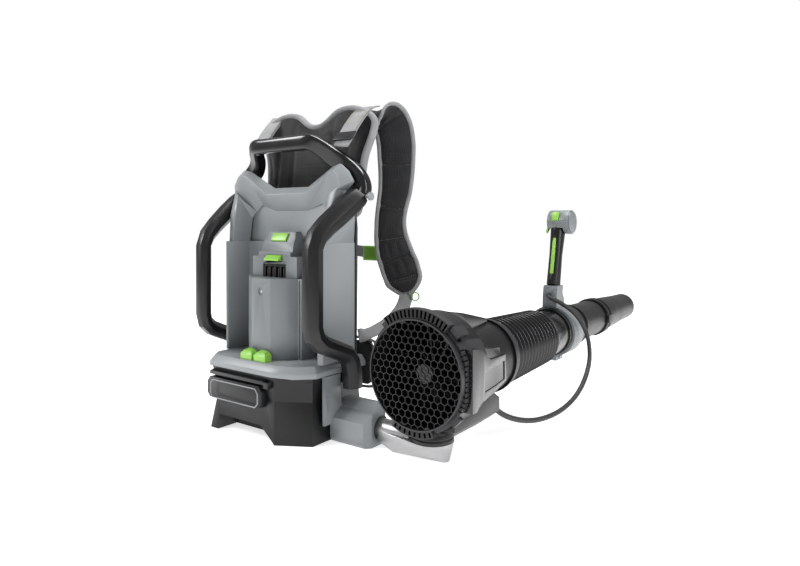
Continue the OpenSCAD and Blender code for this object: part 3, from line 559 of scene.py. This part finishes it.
def groove(obj, height_of):
    """Pulls the surface in where it is sewn; height_of gives the move along the normal at a point."""
    for v in obj.data.vertices:
        height = height_of(v.co)
        if height:
            v.co += v.normal * height
    obj.data.update()


def subdivide(obj):
    fine = obj.modifiers.new("fine", "SUBSURF")
    fine.levels = fine.render_levels = 1


def gauss(x, width):
    return math.exp(-(x / width) ** 2)


def folded_tape(name, rings, loop=False):
    """Flat tape folded over a sewn edge."""
    verts, faces = skin(rings, loop)
    tape = mesh_object(name, verts, faces, M["binding"])
    clean(tape, 70)
    return on_pack(tape)


# ---------- yoke ----------
# It leans back from the carrying handle towards the shoulders.

LEAN = Matrix.Rotation(math.radians(-5.5), 3, "X")
AWAY = LEAN @ Vector((0, -1, 0))
YOKE_FOOT = 404
YOKE_HALF = [(104, YOKE_FOOT), (124, 450), (134, 520), (150, 566), (152, 592), (128, 612), (92, 622),
             (58, 618), (30, 600), (12, 592)]
YOKE_OUTLINE = [(-104, YOKE_FOOT)] + YOKE_HALF + [(-x, z) for x, z in YOKE_HALF[:0:-1]]
TAPE_HALF_THICK = 0.0058
TAPE_HALF_WIDE = 0.0092


def on_yoke(x, z, y):
    return LEAN @ Vector((x * MM, y * MM, z * MM))


def yoke_seams(p):
    """Two sewn channels on each side, and one along the upper edge."""
    q = LEAN.inverted() @ p
    x, z = q.x * 1000, q.z * 1000
    d = max(gauss(abs(x) - 52, 5), gauss(abs(x) - 100 + 0.05 * (z - 400), 5) if z < 590 else 0)
    upper = gauss(z - 566 + 0.0012 * x * x, 4) * (1 if abs(x) < 110 else 0)
    return -0.0036 * max(d * (1 if 420 < z < 566 else 0.4), 0.7 * upper)


def make_yoke():
    yoke = pillow("yoke_pad", "yoke_cushion", 0.0055, 0.0016, 0.006)
    groove(yoke, yoke_seams)
    subdivide(yoke)
    on_pack(yoke)
    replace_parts(yoke, "yoke_pad")
    edge = smooth_path([on_yoke(x * 0.972, YOKE_FOOT + (z - YOKE_FOOT) * 0.982, 16)
                        for x, z in YOKE_OUTLINE + YOKE_OUTLINE[:1]], 0.004)[:-1]
    rings = []
    for i, p in enumerate(edge):
        t = (edge[(i + 1) % len(edge)] - edge[i - 1]).normalized()
        f = square_to(AWAY, t)
        o = t.cross(f)
        rings.append([p + o * TAPE_HALF_THICK * math.cos(a) + f * TAPE_HALF_WIDE * math.sin(a)
                      for a in circle(16)])
    folded_tape("yoke_tape", rings, loop=True)
    for k, x in enumerate((-54, -50, 50, 54)):
        path = [on_yoke(x, z, 9.6) for z in range(424, 562, 6)]
        on_pack(stitches(f"yoke_stitch_{k}", path, AWAY, M["thread"]))


make_yoke()

# ---------- shoulder straps ----------
# The right strap's middle line, with its turn about the upright in degrees and its width in mm at each point.

STRAP = [(110, 86, 582), (114, 93, 594), (121, 103, 601), (130, 114, 603), (139, 125, 596), (146, 134, 578),
         (148, 141, 548), (147, 144, 518), (146, 145, 486), (143, 145, 454), (138, 143, 426), (135, 141, 402),
         (135, 140, 378), (139, 139, 352), (147, 140, 325), (157, 142, 300), (168, 141, 274), (175, 139, 252)]
TURN = [0, 6, 12, 18, 24, 28, 30, 31, 32, 33, 34, 35, 34, 33, 32, 30, 28, 26]
WIDE = [66, 68, 69, 70, 70, 69, 68, 66, 62, 58, 54, 52, 54, 60, 66, 69, 66, 46]
STRAP_STEPS = 150
SECTION = 9
PAD_HALF_THICK = 0.0056
EDGE_HALF_THICK = 0.0010
PLEATS = (0.16, 0.37, 0.58)
PLEAT_DEPTH = 0.0046
SEAMS = (0.735, 0.83, 0.935)
SEAM_DEPTH = 0.0050
TAPE_OUT = 0.0016
TAPE_REACH = 0.0046
TAPE_HEIGHT = 0.0030


def nearest_on(p, k):
    """How far p is from one stretch of the strap's line, and how far along that stretch it lies."""
    a, b = in_metres(STRAP[k:k + 2])
    t = max(0, min(1, (p - a).dot(b - a) / (b - a).length_squared))
    return (p - a.lerp(b, t)).length, t


def strap_frames(side):
    """Even points on a strap's middle line, each with its across and outward direction and half width."""
    line = in_metres(STRAP)
    fine = smooth_path(line, length_of(smooth_path(line, 0.004)) / STRAP_STEPS)
    out = []
    for i, p in enumerate(fine):
        k = min(range(len(STRAP) - 1), key=lambda j: nearest_on(p, j)[0])
        t = nearest_on(p, k)[1]
        turn = math.radians(TURN[k] + (TURN[k + 1] - TURN[k]) * t)
        half = (WIDE[k] + (WIDE[k + 1] - WIDE[k]) * t) / 2000
        d = tangent(fine, i)
        f = Vector((math.cos(turn), math.sin(turn), 0)).cross(d).normalized()
        s = d.cross(f)
        if side < 0:
            p, s, f = (Vector((-q.x, q.y, q.z)) for q in (p, s, f))
        out.append((p, s, f, half))
    return out


def sewn_in(x, u):
    """How far stitching pulls the inner face in, at x across from -1 to 1 and u along from 0 to 1."""
    if abs(x) >= 0.9:
        return 0.0
    pull = PLEAT_DEPTH * max(gauss((u - c) * 150, 1) * (1 - 0.3 * abs(x)) for c in PLEATS)
    if 0.74 < u < 0.93:
        pull = max(pull, 0.0022 * gauss((abs(x) - 0.30) * 9, 1))
    return max(pull, SEAM_DEPTH * max(gauss((u - c) * 90, 1) for c in SEAMS))


def pad_ring(p, s, f, h, u):
    """One crowned cross-section of the cushion, from edge to edge and back, with the inner face first."""
    ring = []
    for face in (-1, 1):
        for k in range(-SECTION, SECTION + 1):
            x = -face * k / SECTION
            crown = (1 - abs(x) ** 3.4) * PAD_HALF_THICK + EDGE_HALF_THICK
            pull = sewn_in(x, u) if face < 0 else 0.0
            ring.append(p + s * (x * h) + f * face * max(0.0008, crown - pull))
    return ring


def shoulder_cushion(word, line):
    """The strap's cushion, with mesh on the inner face and fabric on the outer one; returns its edge."""
    rings, left, right = [], [], []
    for i, (p, s, f, half) in enumerate(line):
        u = i / (len(line) - 1)
        h = half * 0.97 * math.sqrt(max(0.02, 1 - max(0, (u - 0.93) / 0.075) ** 2))
        left.append(p - s * h)
        right.append(p + s * h)
        rings.append(pad_ring(p, s, f, h, u))
    verts, faces = skin(rings)
    pad = mesh_object(f"shoulder_cushion_{word}", verts, faces, M["mesh"])
    clean(pad, 60)
    pad.data.materials.append(M["fabric"])
    for poly in pad.data.polygons:
        near = min(line[::3], key=lambda row: (row[0] - poly.center).length_squared)
        if poly.normal.dot(near[2]) > 0:
            poly.material_index = 1
    subdivide(pad)
    on_pack(pad)
    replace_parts(pad, f"shoulder_strap_{word}")
    return left + right[::-1]


def strap_binding(word, line, around):
    """Tape along the cushion's edge, from one side round the end to the other."""
    edge = even(around, 0.004)
    rings = []
    for i, p in enumerate(edge):
        t = tangent(edge, i)
        near = min(line, key=lambda row: (row[0] - p).length_squared)
        f = square_to(near[2], t)
        o = t.cross(f)
        if o.dot(p - near[0]) < 0:
            o = -o
        rings.append([p + o * (TAPE_OUT + TAPE_REACH * math.cos(a)) + f * TAPE_HEIGHT * math.sin(a)
                      for a in circle(14)])
    folded_tape(f"strap_binding_{word}", rings)


for side, word in ((1, "right"), (-1, "left")):
    line = strap_frames(side)
    strap_binding(word, line, shoulder_cushion(word, line))
    for k, c in enumerate(PLEATS + SEAMS[::2]):
        p, s, f, half = line[round(c * (len(line) - 1))]
        path = [p + s * (x * half * 0.9) - f * 0.0026 for x in (-0.9, -0.45, 0, 0.45, 0.9)]
        on_pack(stitches(f"strap_stitch_{word}_{k}", path, -f, M["thread"]))

# ---------- lumbar pad ----------

PIPING = [(-136, 71, 76), (0, 71, 74), (136, 71, 76), (148, 71, 96), (149, 71, 148), (136, 71, 166),
          (0, 71, 168), (-136, 71, 166), (-149, 71, 148), (-148, 71, 96)]


def lumbar_seams(p):
    """Two upright sewn channels on each side of the face towards the wearer."""
    if p.y <= 0.06:
        return 0
    x = abs(p.x) * 1000
    return -0.004 * max(gauss(x - 50, 6), gauss(x - 105, 6))


lumbar = pillow("lumbar_pad", "lumbar_cushion", 0.006, 0.002, 0.007)
groove(lumbar, lumbar_seams)
subdivide(lumbar)
on_pack(lumbar)
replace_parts(lumbar, "lumbar_pad")
around = smooth_path(in_metres(PIPING + PIPING[:1]), 0.005)[:-1]
on_pack(tube("lumbar_piping", around, 0.0028, M["binding"], 8, loop=True))

# ---------- webbing ----------

WEB_STEP = 0.003
LIFT = [(116, 10, 530), (117, 22, 545), (118, 42, 572), (119, 62, 594), (121, 80, 610), (124, 98, 616)]
LOWER = [(175, 139.5, 262), (175, 137, 243), (173, 126, 222), (167, 105, 203), (157, 78, 189), (145, 54, 180),
         (133, 42, 177)]
CHEST = {"short": [(124, 130, 330), (110, 142, 328), (94, 150, 326)],
         "long": [(62, 152, 328), (40, 154, 330), (0, 156, 332), (-50, 154, 332), (-88, 149, 329),
                  (-112, 140, 326)]}

for side, word in ((1, "right"), (-1, "left")):
    line = smooth_path(in_metres(LIFT, side), WEB_STEP)
    lifter = on_pack(ribbon(f"lifter_web_{word}", line, (1, 0, 0), M["web"], 0.038, 0.0030))
    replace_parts(lifter, "lifter_straps")
    line = smooth_path(in_metres(LOWER, side), WEB_STEP)
    lower = ribbon(f"lower_web_{word}", line, (0.8 * side, 0.6, 0), M["web"], 0.027, 0.0022)
    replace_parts(on_pack(lower), "lower_webbing")
for word, points in CHEST.items():
    line = smooth_path(in_metres(points), WEB_STEP)
    chest = on_pack(ribbon(f"chest_web_{word}", line, (0, 0, 1), M["web"], 0.0235, 0.0022))
    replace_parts(chest, "chest_strap")

# The lifters' upper ply, folded back and sewn down with two pale rows
for side, word in ((1, "right"), (-1, "left")):
    line = smooth_path(in_metres([(x, y - 2.2, z + 2.6) for x, y, z in LIFT[1:5]], side), WEB_STEP)
    on_pack(ribbon(f"lifter_fold_{word}", line, (1, 0, 0), M["web"], 0.037, 0.0022))
    for k, shift in enumerate((-15, 15)):
        path = in_metres([(x + shift, y - 5.2, z + 3.4) for x, y, z in LIFT[2:5]], side)
        row = stitches(f"lifter_stitch_{word}_{k}", path, (0, -0.75, 0.65), M["pale_thread"])
        on_pack(row)

# ---------- hose ----------

HOSE_X, HOSE_Z = 0.321, 0.139
HOSE_START, HOSE_END = 0.197, 0.413
HOSE_R, HOSE_NARROWING = 0.066, 0.0065
HOSE_WALL = 0.0018
FOLDS = 14
# One fold: how far below its crest, and how far along it, from 0 to 1
FOLD = [(0.0105, 0.02), (0.0100, 0.14), (0.0030, 0.38), (0.0006, 0.43), (0, 0.49), (0.0006, 0.55),
        (0.0030, 0.60), (0.0100, 0.86)]


def turned(name, profile, material, angle):
    """A solid turned about the hose's axis: profile is (radius, y) pairs, closed round."""
    centre, axis = Vector((HOSE_X, 0, HOSE_Z)), Vector((0, 1, 0))
    s = axis.orthogonal().normalized()
    n = axis.cross(s)
    rings = [[centre + axis * y + (s * math.cos(a) + n * math.sin(a)) * r for r, y in profile]
             for a in circle(96)]
    verts, faces = skin(rings, loop=True)
    obj = mesh_object(name, verts, faces, material)
    clean(obj, angle)
    return obj


outer = []
for i in range(FOLDS):
    step = (HOSE_END - HOSE_START) / FOLDS
    crest = HOSE_R - HOSE_NARROWING * i / FOLDS
    outer += [(crest - drop, HOSE_START + i * step + step * along) for drop, along in FOLD]
inner = [(r - HOSE_WALL, y) for r, y in outer]
bellows = turned("hose_folds", outer + [(0.057, HOSE_END), (0.055, HOSE_END)] + inner[::-1], M["hose"], 50)
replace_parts(bellows, "bellows")
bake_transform(bellows)

# ---------- collars of the tubes ----------
# Each profile is (radius, y) in mm.

COLLARS = {
    "socket_ring": ("front_tube", [(49, 562), (53.5, 563), (54.5, 565), (54.5, 572), (53, 575), (52.2, 590),
                                   (49, 590)]),
    "tube_ring": ("front_tube", [(46, 612), (49, 613), (49.6, 615), (49.6, 622), (48.6, 624), (46, 625)]),
    "bayonet_ring": ("nozzle", [(45, 770), (48.2, 771), (48.8, 773), (48.8, 781), (48.2, 783), (45.8, 784)]),
    "bayonet_lip": ("nozzle", [(45, 796), (47.6, 797), (48.2, 799), (47.6, 802), (44, 806)])}
for name, (body, profile) in COLLARS.items():
    ring = turned(name, [(r * MM, y * MM) for r, y in profile], M["nozzle"], 30)
    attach(ring, body)
clip = rounded_block("bayonet_clip", (0.355, 0.768, 0.128), (0.3725, 0.806, 0.150), M["nozzle"], 0.0015)
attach(clip, "nozzle")

# ---------- carrying handle ----------
# A flattened bar from ear to ear, deeper where it comes down at each side.

HANDLE_Z = 538
HANDLE_HALF = [(164, 13, 438), (165, 17, 452), (158, 18, 468), (141, 18, 485), (121, 15, 500), (103, 4, 514),
               (88, -12, 529), (72, -24, HANDLE_Z), (40, -27, HANDLE_Z)]
HANDLE_THICK = 0.0122
HANDLE_DEEP = 0.0145
SHOULDER_DEEP = 0.0035


def boxy(value):
    """A sine or cosine pushed outwards, for a circle with flattened sides."""
    return math.copysign(abs(value) ** 0.55, value)


arch = smooth_path(in_metres(HANDLE_HALF) + in_metres(HANDLE_HALF, -1)[::-1], 0.003)
rings = []
for i, p in enumerate(arch):
    t = tangent(arch, i)
    n = Vector((0, 1, 0)).cross(t).normalized()
    d = t.cross(n)
    u = abs(2 * i / (len(arch) - 1) - 1)
    deep = HANDLE_DEEP + SHOULDER_DEEP * gauss(u - 0.66, 0.24)
    drop = (deep - HANDLE_DEEP) * 0.6
    rings.append([p + d * (boxy(math.cos(a)) * HANDLE_THICK) + n * (boxy(math.sin(a)) * deep - drop)
                  for a in circle(32)])
verts, faces = skin(rings)
handle = mesh_object("carrying_handle", verts, faces, M["gloss"])
clean(handle, 40)
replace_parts(handle, "top_handle")
on_pack(handle)

# ---------- raised outline of the blank badge ----------

BADGE = [(-92, 61), (26, 61), (33, 68), (33, 86), (26, 94), (-92, 94), (-97, 87), (-97, 68)]
edge = in_metres([(x, -116.2, z) for x, z in BADGE + BADGE[:1]])
outline = tube("badge_outline", even(edge, 0.002)[:-1], 0.0011, M["rim"], 8, loop=True)
on_pack(outline)

# ---------- floor and light ----------

FLOOR_HALF = 20
CORNERS = [(-1, -1), (1, -1), (1, 1), (-1, 1)]
floor = mesh_object("floor", [(x * FLOOR_HALF, y * FLOOR_HALF, 0) for x, y in CORNERS], [(0, 1, 2, 3)],
                    smooth=False)
pale_floor = Shader("floor", (0.86, 0.86, 0.86), 0.8).vary(1.5, 0.01)
pale_floor.b.inputs["Emission Color"].default_value = (1, 1, 1, 1)
pale_floor.b.inputs["Emission Strength"].default_value = 0.66
floor.data.materials.append(pale_floor.mat)
floor.location.z = -0.0006

# The world is white to the camera, and dimmer as a light
WHITE = (1.0, 1.0, 1.0, 1)
world = SCENE.world or bpy.data.worlds.new("world")
SCENE.world = world
world.use_nodes = True
tree = world.node_tree
lit = tree.nodes["Background"]
lit.inputs["Color"].default_value = WHITE
lit.inputs["Strength"].default_value = 0.40
seen = tree.nodes.new("ShaderNodeBackground")
seen.inputs["Color"].default_value = WHITE
seen.inputs["Strength"].default_value = 1.0
eye = tree.nodes.new("ShaderNodeLightPath")
either = tree.nodes.new("ShaderNodeMixShader")
tree.links.new(eye.outputs["Is Camera Ray"], either.inputs[0])
tree.links.new(lit.outputs[0], either.inputs[1])
tree.links.new(seen.outputs[0], either.inputs[2])
tree.links.new(either.outputs[0], tree.nodes["World Output"].inputs["Surface"])
SCENE.view_settings.view_transform = "Standard"


def area_light(name, place, target, size, power):
    data = bpy.data.lights.new(name, "AREA")
    data.energy = power
    data.shape = "RECTANGLE"
    data.size, data.size_y = size
    obj = bpy.data.objects.new(name, data)
    SCENE.collection.objects.link(obj)
    obj.location = place
    obj.rotation_euler = (Vector(target) - Vector(place)).to_track_quat("-Z", "Y").to_euler()


area_light("key", (-1.3, -1.3, 1.6), (0.1, 0.1, 0.3), (0.9, 0.9), 36)
area_light("right", (2.2, 0.2, 1.2), (0.2, 0.2, 0.2), (0.35, 1.6), 26)
area_light("top", (0.3, 0.7, 2.4), (0.1, 0.3, 0.2), (0.8, 1.6), 52)

bpy.context.view_layer.update()
